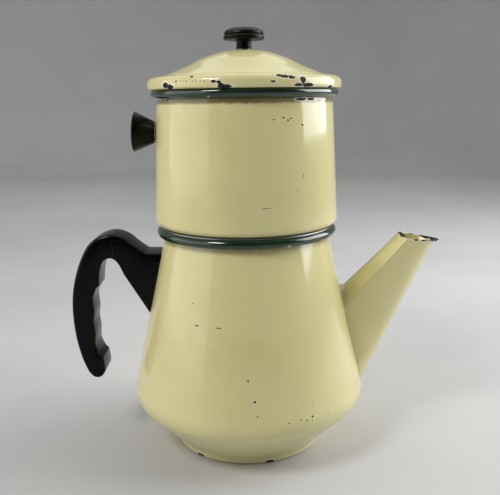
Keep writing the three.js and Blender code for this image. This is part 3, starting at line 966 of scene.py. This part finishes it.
def addConeKnob():
    start, neck, rim, length = (knob[key] for key in ("start", "neck", "rim", "length"))
    hole, blind = screw["hole"], length - knob["screwSink"]
    outline = rounded([
        (hole, start), (neck, start, 0.4), (rim - 0.5, length - 3, 1.2), (rim, length - 2.2, 0.5),
        (rim - 0.6, length - 1.3, 0.5), (rim / 2, length - 0.3, 6), (0, length),
    ], 5)
    outline += [(0, blind), (hole, blind), (hole, start)]
    made = onChamberWall(turned("chamberKnob", outline, 96))
    shown(made, "chamber", phenolic("knobResin", 0.2), "black_phenolic", "chamber_knob")
    washers = knobWashers
    made = flatWasher("chamberKnobSeat", neck - 1, washers["seatLow"], washers["seatHigh"])
    shown(onChamberWall(made), "chamber", steel, "plated_steel", "chamber_knob_seat")
    inside = washers["inside"]
    made = flatWasher("chamberKnobWasher", washers["radius"], inside - washers["sheet"], inside)
    shown(onChamberWall(made), "chamber", steel, "plated_steel", "chamber_knob_washer")
    made = onChamberWall(slottedScrew("chamberKnobScrew", washers["screwSeat"], blind - knob["tipGap"]))
    shown(made, "chamber", steel, "plated_steel", "chamber_knob_screw")


addChamber()
addConeKnob()
addBead("chamberBead", "chamber_rim_bead", "chamber",
        [(-20, 246.5, 1.0, 0.6), (70, 246.5, 1.2, 0.7), (145, 247, 1.6, 0.8), (-150, 247, 1.2, 0.8)])
print("chamber ready")

# lid

lidLow, lidHigh = heights("lid_shell")
lid = dict(brim=66, seat=252.6, drop=1.3, flange=56.9, sheet=1.2, nose=255.5, noseRound=3.4)
lidKnob = dict(stem=5.1, capHeight=8.3, screwSink=4)


def crownPoints(drop):
    # the dome, from the knob's hole out to the crease
    points = splined([(0, lidHigh), (14, 276.8), (27.6, 272.7), (39, 267.3), (47.4, 263.8),
                      (54.4, 260.9)], 10)
    points = [(x, z - drop) for x, z in points]
    points[0] = (screw["hole"], points[0][1])
    return points


def lidRadius(height):
    # near enough for the chips: straight up to the nose, then round
    nose, bend = lid["nose"], lid["noseRound"]
    if height <= nose:
        return lid["brim"]
    return lid["brim"] - bend + sqrt(max(0, bend ** 2 - (min(height, nose + bend) - nose) ** 2))


def addLid():
    brim, seat, flange, sheet = lid["brim"], lid["seat"], lid["flange"], lid["sheet"]
    top = rounded([
        (57.2, 259.9, 2), (60.6, 260.2, 2), (brim, 258.6, 4.2), (brim, seat - 1, 1.6),
        (brim - 3.2, seat - 1, 0.5), (brim - 3.6, seat), (flange, seat), (flange, lidLow, 0.5),
        (flange - sheet, lidLow, 0.5), (flange - sheet, seat + sheet, 1), (brim - 3.4, seat + sheet),
        (brim - 2, seat + 2.6), (brim - 2, 255.6), (brim - 4.4, 257.6), (57, 258.8),
    ], 7)
    outline = crownPoints(0) + top + crownPoints(lid["drop"])[::-1]
    outline.append(outline[0])
    made = turned("lid", outline, angle=30)
    chips = [
        (-48, 254, 3.0, 1.9), (-44, 253, 3.4, 1.5), (-39, 256, 1.0, 0.8),
        (-29, 258.5, 1.6, 0.6), (-36, 256.5, 0.5, 0.4), (-34, 256, 0.4, 0.35),
        (-32, 256, 0.6, 0.4), (-28, 256, 0.5, 0.35), (-26, 256, 0.6, 0.45),
        (-23, 256, 0.4, 0.35), (-21, 255.5, 0.5, 0.4), (-16, 255.5, 1.6, 0.9),
        (-13, 255, 1.4, 0.9), (-10, 252.5, 4.8, 1.2), (-12, 253.5, 1.8, 1.1),
        (15, 255, 2.1, 0.7), (19, 258.5, 2.4, 0.9), (22, 258, 3.0, 1.2), (26, 257.5, 2.4, 1.2),
        (33, 256.5, 2.6, 1.6), (33, 255, 1.8, 1.5), (30, 253, 3.6, 1.1), (36, 253, 4.4, 1.3),
        (56, 252, 2.6, 1.0),
        (95, 253.5, 2.6, 1.2), (128, 252.5, 4.2, 1.2), (140, 257, 1.6, 0.8), (178, 256, 1.2, 0.7),
        (186, 252.5, 3.4, 1.1), (-120, 253, 4, 1.2), (-112, 256.5, 1.5, 0.9), (-85, 255.5, 0.9, 0.6),
        (-160, 253.5, 2.2, 1.0),
    ]
    marks = onWall(lidRadius, chips)
    enamel = creamEnamel("lidEnamel", marks, wave=0.25)
    shown(made, "lid", enamel, "cream_enamel", "lid_shell")


def addLidKnob():
    low, high = heights("lid_knob")
    lip, under, blind = halfWidth("lid_knob"), high - lidKnob["capHeight"], high - lidKnob["screwSink"]
    stem, hole = lidKnob["stem"], screw["hole"]
    outline = rounded([
        (hole, low), (stem + 0.5, low, 0.4), (stem, low + 1.6, 0.8), (stem, under - 1, 0.8),
        (stem + 1.2, under, 0.4), (lip - 0.5, under, 0.4), (lip, under + 0.7, 0.4), (lip, under + 2.4, 0.3),
        (lip - 1, under + 2.7, 0.3), (lip - 1, under + 3.3, 0.3), (lip - 0.2, under + 3.6, 0.5),
        (lip - 0.9, high - 2.6, 1.8), (lip - 4.2, high - 0.7, 6), (0, high),
    ], 5)
    outline += [(0, blind), (hole, blind), (hole, low)]
    made = turned("lidKnob", outline, 112)
    shown(made, "lid", phenolic("lidKnobResin", 0.75, 0.34), "black_phenolic", "lid_knob")
    low, high = heights("lid_knob_seat")
    made = flatWasher("lidKnobSeat", halfWidth("lid_knob_seat"), low, high)
    shown(made, "lid", steel, "plated_steel", "lid_knob_seat")
    low, high = heights("lid_knob_washer")
    made = flatWasher("lidKnobWasher", halfWidth("lid_knob_washer"), low, high)
    shown(made, "lid", steel, "plated_steel", "lid_knob_washer")
    low, high = heights("lid_knob_screw")
    made = slottedScrew("lidKnobScrew", low + screw["headHeight"], high)
    shown(made, "lid", steel, "plated_steel", "lid_knob_screw")


addLid()
addLidKnob()
print("lid ready")
